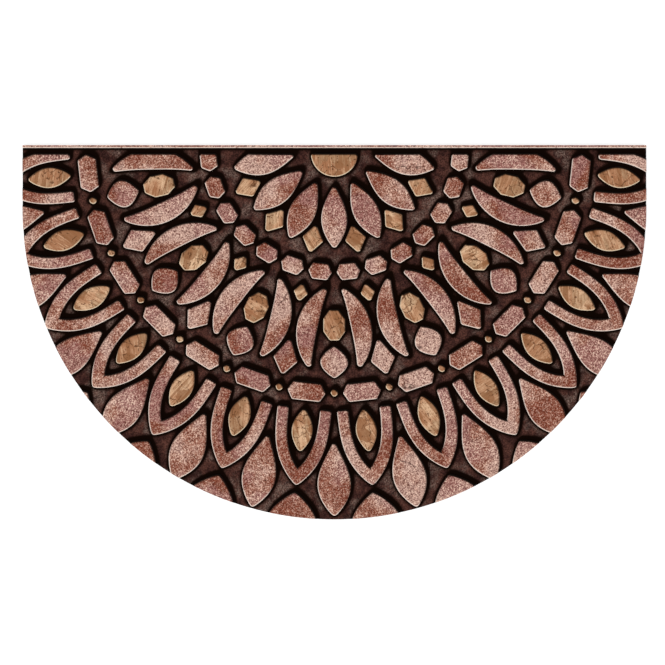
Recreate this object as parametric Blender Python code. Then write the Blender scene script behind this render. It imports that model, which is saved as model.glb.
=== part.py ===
"""A half-round doormat: one moulded rubber mat whose printed face stands up in low relief.

The relief is a plain half rosette. Its centre is the middle of the straight door edge, and its rings of
leaves, lozenges, bricks, tulips and arches run off the curved rim with no border.

Metres, +Z up. The mat lies on the plane z = 0 with its door edge towards +Y. The origin is on the
underside, at the middle of the mat's length and depth.
"""

import math
from typing import Callable, NamedTuple

import bmesh
import bpy
from mathutils import Matrix, Vector

# Driving dimensions of the mat
MAT_LENGTH = 0.750  # along the straight door edge
MAT_DEPTH = 0.450  # from the door edge to the far end of the curve
MAT_THICKNESS = 0.008  # underside to the top of the relief
RELIEF_HEIGHT = 0.003  # groove floor to the top of the relief
WALL_DRAFT = 0.0008  # how far a relief wall leans in over its height
UNDERSIDE_CHAMFER = 0.0004  # the mould's small break of the lower edge

# Driving dimensions of the relief that no ring holds
STRIP_WIDTH = 0.0035  # the plain raised strip along the door edge
STRIP_GROOVE = 0.006  # between that strip and the rosette
HUB_RADIUS = 0.0285  # the half-round boss in the rosette's middle
LEAST_PAD_AREA = 0.00006  # a smaller remnant of a motif at the door edge is left off, in square metres
LEAST_REACH = 0.005  # a motif that comes less far inside the rim is left off
LEAST_SIDE = 0.003  # a shorter side that the cut at the door edge leaves is left out
CORNER_RADIUS = 0.0038  # of the motifs' corners in plan, at their foot
CORNER_SHARE = 0.42  # the most of either side that a corner's arc takes up

# Shape factors of the curved motifs
LEAF_FULLNESS = 0.85  # 1 is a sine bow, less is rounder
ARCH_FULLNESS = 0.85
ARCH_SPRING = 1.7  # how long an arch's sides stay upright before they lean in
ARCH_TIP_SHARE = 1.55  # thickness of an arch at its tip, in band widths

# Facets. A blunter corner than the facet angle is a curve's own facet, and isn't rounded in plan
FACET_ANGLE = math.radians(140.0)
RIM_STEPS = 96  # keeps the facets within 0.05 mm of the true curve
LEAF_STEPS = 6
ARCH_STEPS = 6
HUB_STEPS = 12
CORNER_STEP_ANGLE = math.radians(75.0)

# Derived sizes: the curve is a true half circle as wide as the mat, with short straight sides above it
RIM_RADIUS = MAT_LENGTH / 2
DOOR_EDGE_Y = MAT_DEPTH / 2
RIM_CENTRE = Vector((0.0, DOOR_EDGE_Y - (MAT_DEPTH - RIM_RADIUS)))
ROSETTE_CENTRE = Vector((0.0, DOOR_EDGE_Y))
ROSETTE_TOP_Y = DOOR_EDGE_Y - STRIP_WIDTH - STRIP_GROOVE
GROOVE_FLOOR_Z = MAT_THICKNESS - RELIEF_HEIGHT

# The groove cutter stands past the mat on every side, and above it
CUTTER_MARGIN = 0.130
CUTTER_TOP_Z = MAT_THICKNESS + 0.001

# Colour of the print taken as a whole
PRINT_BROWN = (0.150, 0.072, 0.055, 1.0)
FLOCK_ROUGHNESS = 0.95


def lozenge(length, width, belly=0.5):
    """A four-sided figure, widest at the belly's share of its length."""
    return [
        Vector((0.0, 0.0)),
        Vector((length * belly, width / 2)),
        Vector((length, 0.0)),
        Vector((length * belly, -width / 2)),
    ]


def brick(length, width, corner):
    """An oblong laid across the spoke, its corners cut off down to a blunt point at each end."""
    half = width / 2
    return [
        Vector((0.0, half - corner)),
        Vector((length / 2, half)),
        Vector((length, half - corner)),
        Vector((length, corner - half)),
        Vector((length / 2, -half)),
        Vector((0.0, corner - half)),
    ]


def octagon(length, width):
    """An eight-sided cushion whose corners are cut as on a regular octagon."""
    cut = 1.0 / (2.0 + math.sqrt(2.0))
    near, far = length * cut, length * (1.0 - cut)
    low, high = width * (0.5 - cut), width / 2
    side = [Vector((0.0, low)), Vector((near, high)), Vector((far, high)), Vector((length, low))]
    return side + [Vector((point.x, -point.y)) for point in reversed(side)]


def midline(length, bend, share):
    """The point and the heading at a share of a line that turns evenly through bend radians."""
    if abs(bend) < 1e-6:
        return Vector((length * share, 0.0)), 0.0
    radius = length / bend
    heading = bend * share
    return Vector((radius * math.sin(heading), radius * (1.0 - math.cos(heading)))), heading


def leaf(length, width, belly=0.5, bend_deg=0.0):
    """A leaf with pointed ends, widest at the belly's share of its length, its midline bent sideways."""
    skew = math.log(0.5) / math.log(belly)
    left, right = [], []
    for step in range(LEAF_STEPS + 1):
        share = step / LEAF_STEPS
        bow = max(math.sin(math.pi * share**skew), 0.0) ** LEAF_FULLNESS
        point, heading = midline(length, math.radians(bend_deg), share)
        outward = Vector((-math.sin(heading), math.cos(heading))) * (width / 2 * bow)
        left.append(point + outward)
        if 0 < step < LEAF_STEPS:
            right.append(point - outward)
    return left + right[::-1]


def arch_side(length, width):
    """One side of a pointed arch, from its root to its tip."""
    side = []
    for step in range(ARCH_STEPS + 1):
        share = step / ARCH_STEPS
        lean = max(math.cos(math.pi / 2 * share**ARCH_SPRING), 0.0) ** ARCH_FULLNESS
        side.append(Vector((length * share, width / 2 * lean)))
    return side


def arch(length, width, band):
    """The band of a pointed arch, open at its root."""
    outer = arch_side(length, width)
    inner = arch_side(length - band * ARCH_TIP_SHARE, width - 2 * band)
    outline = outer + [Vector((point.x, -point.y)) for point in reversed(outer[:-1])]
    outline += [Vector((point.x, -point.y)) for point in inner]
    return outline + inner[-2::-1]


class Ring(NamedTuple):
    """One ring of like motifs round the rosette's centre. Its motifs point outwards along their spokes."""

    motif: Callable
    sizes: dict  # metres, but bend_deg in degrees and belly a share of the length
    count: int  # motifs in half a turn
    phase: float  # the first motif's place, in steps from the door edge
    radius: float  # from the rosette's centre to the motif's root
    side: float = 0.0  # the root's place beside its spoke
    lean_deg: float = 0.0  # the root's turn off its spoke
    paired: bool = False  # a mirror image stands on the spoke's other side


RINGS = (
    # Star of leaves, with a lozenge between each two
    Ring(leaf, {"length": 0.079, "width": 0.032, "belly": 0.54}, count=7, phase=0.5, radius=0.046),
    Ring(lozenge, {"length": 0.038, "width": 0.027}, count=7, phase=0.0, radius=0.096),
    # Inner band of bricks
    Ring(brick, {"length": 0.021, "width": 0.0295, "corner": 0.0055}, count=14, phase=0.5, radius=0.1415),
    # Tulips: two bent petals round a cushion and a small leaf, and a lozenge on either side of their gap
    Ring(
        leaf,
        {"length": 0.112, "width": 0.0255, "bend_deg": -66.0},
        count=7,
        phase=0.5,
        radius=0.168,
        side=0.006,
        lean_deg=45.0,
        paired=True,
    ),
    Ring(octagon, {"length": 0.038, "width": 0.027}, count=7, phase=0.5, radius=0.197),
    Ring(leaf, {"length": 0.040, "width": 0.034}, count=7, phase=0.5, radius=0.2405),
    Ring(lozenge, {"length": 0.026, "width": 0.019}, count=7, phase=0.0, radius=0.168),
    Ring(lozenge, {"length": 0.049, "width": 0.031, "belly": 0.58}, count=7, phase=0.0, radius=0.235),
    # Outer band of bricks and beads
    Ring(brick, {"length": 0.023, "width": 0.047, "corner": 0.0065}, count=14, phase=0.5, radius=0.286),
    Ring(lozenge, {"length": 0.015, "width": 0.011}, count=14, phase=0.0, radius=0.290),
    # Arches over leaves, and the two rows of leaves that run off the rim
    Ring(arch, {"length": 0.095, "width": 0.066, "band": 0.0145}, count=14, phase=0.5, radius=0.317),
    Ring(leaf, {"length": 0.055, "width": 0.026}, count=14, phase=0.5, radius=0.317),
    Ring(leaf, {"length": 0.094, "width": 0.041, "belly": 0.58}, count=14, phase=0.0, radius=0.353),
    Ring(leaf, {"length": 0.080, "width": 0.062}, count=14, phase=0.5, radius=0.4185),
)


def area_of(outline):
    """The area inside a closed outline."""
    pairs = zip(outline, outline[1:] + outline[:1])
    return abs(sum(here.cross(there) for here, there in pairs)) / 2


def counter_clockwise(outline):
    """The same outline, run so that its inside lies on the left."""
    pairs = zip(outline, outline[1:] + outline[:1])
    if sum(here.cross(there) for here, there in pairs) < 0:
        return outline[::-1]
    return outline


def kept_below(outline, limit_y):
    """The part of an outline that lies below a line parallel to the door edge."""
    kept = []
    for here, there in zip(outline, outline[1:] + outline[:1]):
        if here.y <= limit_y:
            kept.append(here)
        if (here.y <= limit_y) != (there.y <= limit_y):
            crossing = here.lerp(there, (limit_y - here.y) / (there.y - here.y))
            if (crossing - min(here, there, key=lambda point: point.y)).length > LEAST_SIDE:
                kept.append(crossing)
    return kept


def rounded_in_plan(outline):
    """A counter-clockwise outline with its corners rounded, as the mould's cutter leaves them."""
    rounded = []
    for before, here, after in zip(outline[-1:] + outline[:-1], outline, outline[1:] + outline[:1]):
        back, onward = before - here, after - here
        angle = back.angle(onward)
        if onward.cross(back) < 0 or angle > FACET_ANGLE:
            rounded.append(here)
            continue
        room = CORNER_SHARE * min(back.length, onward.length)
        radius = min(CORNER_RADIUS, room * math.tan(angle / 2))
        middle = (back.normalized() + onward.normalized()).normalized()
        centre = here + middle * (radius / math.sin(angle / 2))
        spoke = here + back.normalized() * (radius / math.tan(angle / 2)) - centre
        turn = math.pi - angle
        facets = math.ceil(turn / CORNER_STEP_ANGLE)
        rounded += [centre + Matrix.Rotation(turn * step / facets, 2) @ spoke for step in range(facets + 1)]
    return rounded


def reaches_the_mat(outline):
    """Whether an outline comes so far inside the rim that the cut leaves more than a crumb of it."""
    radius = RIM_RADIUS - LEAST_REACH
    return any(point.y > RIM_CENTRE.y and abs(point.x) < radius for point in outline) or any(
        (point - RIM_CENTRE).length < radius for point in outline
    )


def ring_outlines(ring):
    """Every motif of one ring, in the mat's plane."""
    root = Matrix.Rotation(math.radians(ring.lean_deg), 2)
    single = [root @ point + Vector((ring.radius, ring.side)) for point in ring.motif(**ring.sizes)]
    motifs = [single]
    if ring.paired:
        motifs.append([Vector((point.x, -point.y)) for point in single])
    outlines = []
    for place in range(ring.count + 1):
        angle = math.pi * (place + ring.phase) / ring.count
        if angle > math.pi + 1e-6:
            continue
        spoke = Matrix.Rotation(-angle, 2)
        outlines.extend([ROSETTE_CENTRE + spoke @ point for point in motif] for motif in motifs)
    return outlines


def hub_outline():
    """The half-round boss, flat against the strip's groove."""
    angles = [math.pi * step / HUB_STEPS for step in range(HUB_STEPS + 1)]
    centre = Vector((0.0, ROSETTE_TOP_Y))
    return [centre - HUB_RADIUS * Vector((math.cos(angle), math.sin(angle))) for angle in angles]


def oblong(half_length, low_y, high_y):
    """A rectangle about the Y axis, counter-clockwise."""
    return [
        Vector((-half_length, low_y)),
        Vector((half_length, low_y)),
        Vector((half_length, high_y)),
        Vector((-half_length, high_y)),
    ]


def strip_outline():
    """The strip along the door edge, run past the mat on its three outer sides."""
    past = CUTTER_MARGIN / 2
    return oblong(MAT_LENGTH / 2 + past, DOOR_EDGE_Y - STRIP_WIDTH, DOOR_EDGE_Y + past)


def relief_outlines():
    """The foot of every raised pad, counter-clockwise. Those at the rim run past it, to be cut there."""
    outlines = [strip_outline(), hub_outline()]
    for ring in RINGS:
        for outline in ring_outlines(ring):
            kept = kept_below(outline, ROSETTE_TOP_Y)
            if len(kept) > 2 and area_of(kept) > LEAST_PAD_AREA and reaches_the_mat(kept):
                outlines.append(kept)
    return [rounded_in_plan(counter_clockwise(outline)) for outline in outlines]


def drawn_in(outline, distance):
    """A counter-clockwise outline with every side moved inwards by the same distance."""
    moved = []
    for before, here, after in zip(outline[-1:] + outline[:-1], outline, outline[1:] + outline[:1]):
        inward_in = (here - before).orthogonal().normalized()
        inward_out = (after - here).orthogonal().normalized()
        moved.append(here + (inward_in + inward_out) * (distance / (1.0 + inward_in.dot(inward_out))))
    return moved


def add_loop(mesh, outline, height):
    """Adds an outline's corners and sides at one height, and gives its vertices and edges."""
    verts = [mesh.verts.new((point.x, point.y, height)) for point in outline]
    edges = [mesh.edges.new(pair) for pair in zip(verts, verts[1:] + verts[:1])]
    return verts, edges


def object_from(name, mesh):
    """Turns a finished bmesh into an object in the scene."""
    bmesh.ops.recalc_face_normals(mesh, faces=mesh.faces[:])
    data = bpy.data.meshes.new(name)
    mesh.to_mesh(data)
    mesh.free()
    obj = bpy.data.objects.new(name, data)
    bpy.context.scene.collection.objects.link(obj)
    return obj


def mat_outline():
    """The half circle, then the two square corners at the door edge."""
    angles = [math.pi + math.pi * step / RIM_STEPS for step in range(RIM_STEPS + 1)]
    curve = [RIM_CENTRE + RIM_RADIUS * Vector((math.cos(angle), math.sin(angle))) for angle in angles]
    return curve + [Vector((RIM_RADIUS, DOOR_EDGE_Y)), Vector((-RIM_RADIUS, DOOR_EDGE_Y))]


def build_blank():
    """The mat before its grooves: the outline at full thickness, its lower edge broken."""
    mesh = bmesh.new()
    verts, _ = add_loop(mesh, mat_outline(), 0.0)
    mesh.faces.new(verts)
    grown = bmesh.ops.extrude_face_region(mesh, geom=mesh.faces[:])
    risen = [item for item in grown["geom"] if isinstance(item, bmesh.types.BMVert)]
    bmesh.ops.translate(mesh, verts=risen, vec=(0.0, 0.0, MAT_THICKNESS))
    lower_rim = [edge for edge in mesh.edges if all(vert.co.z < MAT_THICKNESS / 2 for vert in edge.verts)]
    bmesh.ops.bevel(
        mesh,
        geom=lower_rim,
        offset=UNDERSIDE_CHAMFER,
        offset_type="OFFSET",
        affect="EDGES",
        segments=1,
        profile=0.5,
        material=-1,
    )
    return object_from("mat", mesh)


def build_groove_cutter():
    """One slab that fills all the grooves and stands on their floor, pierced by the pads' drafted walls."""
    mesh = bmesh.new()
    reach_y = MAT_DEPTH / 2 + CUTTER_MARGIN
    frame = oblong(MAT_LENGTH / 2 + CUTTER_MARGIN, -reach_y, reach_y)
    draft = WALL_DRAFT * (CUTTER_TOP_Z - GROOVE_FLOOR_Z) / RELIEF_HEIGHT
    feet = [frame] + relief_outlines()
    tops = [frame] + [drawn_in(outline, draft) for outline in feet[1:]]
    floor_edges, top_edges = [], []
    for foot, top in zip(feet, tops):
        low_verts, low_edges = add_loop(mesh, foot, GROOVE_FLOOR_Z)
        high_verts, high_edges = add_loop(mesh, top, CUTTER_TOP_Z)
        floor_edges.extend(low_edges)
        top_edges.extend(high_edges)
        for index, corner in enumerate(low_verts):
            mesh.faces.new((low_verts[index - 1], corner, high_verts[index], high_verts[index - 1]))
    bmesh.ops.triangle_fill(mesh, use_beauty=True, edges=floor_edges)
    bmesh.ops.triangle_fill(mesh, use_beauty=True, edges=top_edges)
    cutter = object_from("groove_cutter", mesh)
    cutter.hide_render = True
    cutter.display_type = "WIRE"
    return cutter


def print_material():
    """Matt printed flock in the print's average colour."""
    material = bpy.data.materials.new("printed_flock")
    material.use_nodes = True
    shader = material.node_tree.nodes["Principled BSDF"]
    shader.inputs["Base Color"].default_value = PRINT_BROWN
    shader.inputs["Roughness"].default_value = FLOCK_ROUGHNESS
    shader.inputs["Metallic"].default_value = 0.0
    return material


def main():
    for obj in list(bpy.data.objects):
        bpy.data.objects.remove(obj, do_unlink=True)
    mat = build_blank()
    mat.data.materials.append(print_material())
    grooves = mat.modifiers.new("grooves", "BOOLEAN")
    grooves.operation = "DIFFERENCE"
    grooves.object = build_groove_cutter()


main()
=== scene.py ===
"""Looks of a half-round doormat: one moulded rubber mat whose printed flock face has a low relief.

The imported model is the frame. Three pieces stand for its one node: the rubber body with the printed
floor of its grooves, the pads printed as stone and the pads printed as wood. All of them follow one
drawing, a plain half rosette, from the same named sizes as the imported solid, in finer steps.

Metres, +Z up. The mat lies on the plane z = 0 with its door edge towards +Y.
"""

import logging
import math
import random
from dataclasses import dataclass, field
from enum import Enum
from typing import Iterator, Protocol

import bmesh
import bpy
import numpy as np
from mathutils import Matrix, Vector, noise


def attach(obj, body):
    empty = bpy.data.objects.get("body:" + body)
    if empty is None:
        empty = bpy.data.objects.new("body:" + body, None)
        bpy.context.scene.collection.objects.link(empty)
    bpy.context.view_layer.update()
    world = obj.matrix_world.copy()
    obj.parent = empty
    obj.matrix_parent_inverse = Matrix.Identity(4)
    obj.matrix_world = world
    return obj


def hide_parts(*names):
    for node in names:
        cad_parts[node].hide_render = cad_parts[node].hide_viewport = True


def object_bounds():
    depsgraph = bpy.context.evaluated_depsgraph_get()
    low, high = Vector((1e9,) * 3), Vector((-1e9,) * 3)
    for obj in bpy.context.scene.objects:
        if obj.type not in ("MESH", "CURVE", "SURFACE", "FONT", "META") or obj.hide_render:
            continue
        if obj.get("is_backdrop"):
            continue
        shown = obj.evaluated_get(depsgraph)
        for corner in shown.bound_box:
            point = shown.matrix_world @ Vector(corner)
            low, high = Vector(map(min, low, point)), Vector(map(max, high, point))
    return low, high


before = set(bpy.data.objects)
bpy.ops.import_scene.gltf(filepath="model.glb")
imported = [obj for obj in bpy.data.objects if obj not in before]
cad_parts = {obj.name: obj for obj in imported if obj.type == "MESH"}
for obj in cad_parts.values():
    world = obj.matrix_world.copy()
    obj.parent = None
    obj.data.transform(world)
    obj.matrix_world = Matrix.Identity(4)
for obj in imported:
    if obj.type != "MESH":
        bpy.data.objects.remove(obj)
CAD_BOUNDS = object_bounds()

NODE = "mat"
BODY = "root"
# Where the print's painted light falls from, in the mat's plane
LIT_FROM = Vector((-0.42, -0.91)).normalized()

# Distances under which points count as one, in a cut and in a merge
TOUCHING = 1e-7
MERGED = 1e-6
# Faces whose normals rise less than UPRIGHT stand, and those that rise more than LEVEL lie
UPRIGHT = 0.05
LEVEL = 0.995
# The curve by which screens show light: straight up to its knee, and a power beyond
SCREEN_LEVELS = 255
SCREEN_KNEE = 0.04045
SCREEN_SLOPE = 12.92
SCREEN_OFFSET = 0.055
SCREEN_POWER = 2.4
# The Mix node's colour sockets, which share their names with others
MIX_SHARE, MIX_FIRST, MIX_SECOND, MIX_RESULT = 0, 6, 7, 2
SHEEN_ROUGHNESS = 0.6
WHITE = (1.0, 1.0, 1.0, 1.0)

Triple = tuple[float, float, float]
Colour = tuple[float, float, float, float]
Socket = bpy.types.NodeSocket
Feeds = dict[str | int, object]

log = logging.getLogger("doormat")


# What several pieces share


class Finish(Enum):
    """What a raised pad is printed as."""

    STONE = "stone"
    WOOD = "wood"


def printed(red: int, green: int, blue: int) -> Colour:
    """Turn a colour as it shows on a screen into linear light.

    Args:
        red: From 0 to 255.
        green: From 0 to 255.
        blue: From 0 to 255.

    Returns:
        The linear colour, opaque.
    """
    linear = []
    for share in (red / SCREEN_LEVELS, green / SCREEN_LEVELS, blue / SCREEN_LEVELS):
        curved = ((share + SCREEN_OFFSET) / (1.0 + SCREEN_OFFSET)) ** SCREEN_POWER
        linear.append(share / SCREEN_SLOPE if share <= SCREEN_KNEE else curved)
    return (*linear, 1.0)


def corners(outline: list[Vector]) -> Iterator[tuple[Vector, Vector, Vector]]:
    """Give each corner of an outline between the one before it and the one after it."""
    return zip(outline[-1:] + outline[:-1], outline, outline[1:] + outline[:1])


def cut_off(mesh: bmesh.types.BMesh, place: Vector, outward: Vector) -> list[bmesh.types.BMEdge]:
    """Cut away what lies beyond an upright plane.

    Args:
        mesh: What is cut.
        place: A point of the plane, seen from above.
        outward: The plane's direction, seen from above.

    Returns:
        The edges along the cut.
    """
    cut = bmesh.ops.bisect_plane(
        mesh,
        geom=mesh.verts[:] + mesh.edges[:] + mesh.faces[:],
        dist=TOUCHING,
        plane_co=place.to_3d(),
        plane_no=outward.to_3d(),
        clear_outer=True,
    )
    return [item for item in cut["geom_cut"] if isinstance(item, bmesh.types.BMEdge)]


def inset(mesh: bmesh.types.BMesh, face: bmesh.types.BMFace, width: float) -> list[bmesh.types.BMFace]:
    """Draw a face in by an even width.

    Args:
        mesh: The mesh that it belongs to.
        face: The face, which becomes the inner one.
        width: How far its sides move.

    Returns:
        The ring of faces round it.
    """
    return bmesh.ops.inset_region(
        mesh, faces=[face], thickness=width, depth=0.0, use_even_offset=True, use_boundary=True
    )["faces"]


def leans(face: bmesh.types.BMFace) -> bool:
    """Say whether a face is neither upright nor level."""
    return UPRIGHT < face.normal.z < LEVEL


# Sizes of the mat and the drawing of its relief


@dataclass(frozen=True)
class MatSize:
    """The mat's own sizes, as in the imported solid."""

    length: float = 0.750
    depth: float = 0.450
    thickness: float = 0.008
    relief: float = 0.003
    draft: float = 0.0008
    chamfer: float = 0.0004
    strip_width: float = 0.0035
    strip_groove: float = 0.006
    hub_radius: float = 0.0285
    rim_chords: int = 220

    @property
    def rim_radius(self) -> float:
        """The curve is a true half circle as wide as the mat."""
        return self.length / 2

    @property
    def door_edge_y(self) -> float:
        """The straight edge's place."""
        return self.depth / 2

    @property
    def rim_centre(self) -> Vector:
        """The half circle's centre, where the short straight sides begin."""
        return Vector((0.0, self.door_edge_y - (self.depth - self.rim_radius)))

    @property
    def rosette_top_y(self) -> float:
        """The line along which the drawing ends below the strip's groove."""
        return self.door_edge_y - self.strip_width - self.strip_groove

    @property
    def groove_floor_z(self) -> float:
        """The height of the groove floor."""
        return self.thickness - self.relief

    @property
    def flat_area(self) -> float:
        """The area of the cut outline."""
        straight = self.length * (self.depth - self.rim_radius)
        return math.pi * self.rim_radius**2 / 2 + straight

    def edge_planes(self) -> list[tuple[Vector, Vector]]:
        """Give the upright planes that bound the outline.

        Returns:
            A point and an outward direction for each, the rim's chords before the straight edges.
        """
        planes = []
        half_step = math.pi / self.rim_chords / 2
        for chord in range(self.rim_chords):
            angle = math.pi + math.pi * (chord + 0.5) / self.rim_chords
            outward = Vector((math.cos(angle), math.sin(angle)))
            planes.append((self.rim_centre + outward * (self.rim_radius * math.cos(half_step)), outward))
        planes.append((Vector((self.rim_radius, 0.0)), Vector((1.0, 0.0))))
        planes.append((Vector((-self.rim_radius, 0.0)), Vector((-1.0, 0.0))))
        planes.append((Vector((0.0, self.door_edge_y)), Vector((0.0, 1.0))))
        return planes


class Motif(Protocol):
    """A figure that starts at its root and points along +X."""

    def outline(self) -> list[Vector]:
        """Give its corners in order."""


def mirrored(side: list[Vector]) -> list[Vector]:
    """Give a side's mirror image about the X axis, run backwards."""
    return [Vector((point.x, -point.y)) for point in reversed(side)]


@dataclass(frozen=True)
class Lozenge:
    """A four-sided figure, widest at the belly's share of its length."""

    length: float
    width: float
    belly: float = 0.5

    def outline(self) -> list[Vector]:
        """Give its corners in order.

        Returns:
            Its root, one side, its tip and the other side.
        """
        middle = self.length * self.belly
        side = [Vector((0.0, 0.0)), Vector((middle, self.width / 2)), Vector((self.length, 0.0))]
        return side + [Vector((middle, -self.width / 2))]


@dataclass(frozen=True)
class Brick:
    """An oblong laid across the spoke, its corners cut off down to a blunt point at each end."""

    length: float
    width: float
    corner: float

    def outline(self) -> list[Vector]:
        """Give its corners in order.

        Returns:
            One end with its blunt point, and the other end.
        """
        half = self.width / 2
        side = [
            Vector((0.0, half - self.corner)),
            Vector((self.length / 2, half)),
            Vector((self.length, half - self.corner)),
        ]
        return side + mirrored(side)


@dataclass(frozen=True)
class Cushion:
    """An eight-sided figure whose corners are cut as on a regular octagon."""

    length: float
    width: float

    def outline(self) -> list[Vector]:
        """Give its corners in order.

        Returns:
            The four corners of one half, and those of the other.
        """
        cut = 1.0 / (2.0 + math.sqrt(2.0))
        side = [
            Vector((0.0, self.width * (0.5 - cut))),
            Vector((self.length * cut, self.width / 2)),
            Vector((self.length * (1.0 - cut), self.width / 2)),
            Vector((self.length, self.width * (0.5 - cut))),
        ]
        return side + mirrored(side)


@dataclass(frozen=True)
class Leaf:
    """A leaf with two pointed ends, its midline bent sideways."""

    length: float
    width: float
    belly: float = 0.5
    bend_deg: float = 0.0
    fullness: float = 0.85
    steps: int = 24

    def midline(self, share: float) -> tuple[Vector, float]:
        """Follow the midline.

        Args:
            share: How far along its length.

        Returns:
            The point there, and the heading.
        """
        bend = math.radians(self.bend_deg)
        if not bend:
            return Vector((self.length * share, 0.0)), 0.0
        radius = self.length / bend
        heading = bend * share
        return Vector((radius * math.sin(heading), radius * (1.0 - math.cos(heading)))), heading

    def outline(self) -> list[Vector]:
        """Give its corners in order.

        Returns:
            One side from the root to the tip, and the other one back.
        """
        skew = math.log(0.5) / math.log(self.belly)
        left, right = [], []
        for step in range(self.steps + 1):
            share = step / self.steps
            bow = max(math.sin(math.pi * share**skew), 0.0) ** self.fullness
            point, heading = self.midline(share)
            outward = Vector((-math.sin(heading), math.cos(heading))) * (self.width / 2 * bow)
            left.append(point + outward)
            if 0 < step < self.steps:
                right.append(point - outward)
        return left + right[::-1]


@dataclass(frozen=True)
class Arch:
    """The band of a pointed arch, open at its root."""

    length: float
    width: float
    band: float
    fullness: float = 0.85
    spring: float = 1.7
    tip_share: float = 1.55
    steps: int = 24

    def side(self, length: float, width: float) -> list[Vector]:
        """Draw one side of a pointed arch.

        Args:
            length: The arch's length.
            width: Its width at the root.

        Returns:
            The points of the side from its root to its tip.
        """
        points = []
        for step in range(self.steps + 1):
            share = step / self.steps
            lean = max(math.cos(math.pi / 2 * share**self.spring), 0.0) ** self.fullness
            points.append(Vector((length * share, width / 2 * lean)))
        return points

    def outline(self) -> list[Vector]:
        """Give its corners in order.

        Returns:
            The outer arch from foot to foot, and the inner one back.
        """
        outer = self.side(self.length, self.width)
        inner = self.side(self.length - self.band * self.tip_share, self.width - 2 * self.band)
        return outer + mirrored(outer[:-1]) + mirrored(inner)[::-1] + inner[-2::-1]


@dataclass(frozen=True)
class Ring:
    """One ring of like motifs round the rosette's centre, which point outwards along their spokes."""

    motif: Motif
    count: int
    phase: float
    radius: float
    finish: Finish = Finish.STONE
    side: float = 0.0
    lean_deg: float = 0.0
    paired: bool = False


PETAL = Leaf(0.112, 0.0255, bend_deg=-66.0)
RINGS = (
    # Star of leaves, with a lozenge between each two
    Ring(Leaf(0.079, 0.032, belly=0.54), count=7, phase=0.5, radius=0.046),
    Ring(Lozenge(0.038, 0.027), count=7, phase=0.0, radius=0.096, finish=Finish.WOOD),
    # Inner band of bricks
    Ring(Brick(0.021, 0.0295, corner=0.0055), count=14, phase=0.5, radius=0.1415),
    # Tulips: two bent petals round a cushion and a small leaf, and a lozenge on either side of their gap
    Ring(PETAL, count=7, phase=0.5, radius=0.168, side=0.006, lean_deg=45.0, paired=True),
    Ring(Cushion(0.038, 0.027), count=7, phase=0.5, radius=0.197, finish=Finish.WOOD),
    Ring(Leaf(0.040, 0.034), count=7, phase=0.5, radius=0.2405),
    Ring(Lozenge(0.026, 0.019), count=7, phase=0.0, radius=0.168, finish=Finish.WOOD),
    Ring(Lozenge(0.049, 0.031, belly=0.58), count=7, phase=0.0, radius=0.235),
    # Outer band of bricks and beads
    Ring(Brick(0.023, 0.047, corner=0.0065), count=14, phase=0.5, radius=0.286),
    Ring(Lozenge(0.015, 0.011), count=14, phase=0.0, radius=0.290, finish=Finish.WOOD),
    # Arches over leaves, and the two rows of leaves that run off the rim
    Ring(Arch(0.095, 0.066, band=0.0145), count=14, phase=0.5, radius=0.317),
    Ring(Leaf(0.055, 0.026), count=14, phase=0.5, radius=0.317, finish=Finish.WOOD),
    Ring(Leaf(0.094, 0.041, belly=0.58), count=14, phase=0.0, radius=0.353),
    Ring(Leaf(0.080, 0.062), count=14, phase=0.5, radius=0.4185),
)


@dataclass(frozen=True)
class Pad:
    """One raised pad: the outline of its foot, counter-clockwise, and how its print lies."""

    outline: list[Vector]
    finish: Finish
    seed: float
    grain: float


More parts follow.
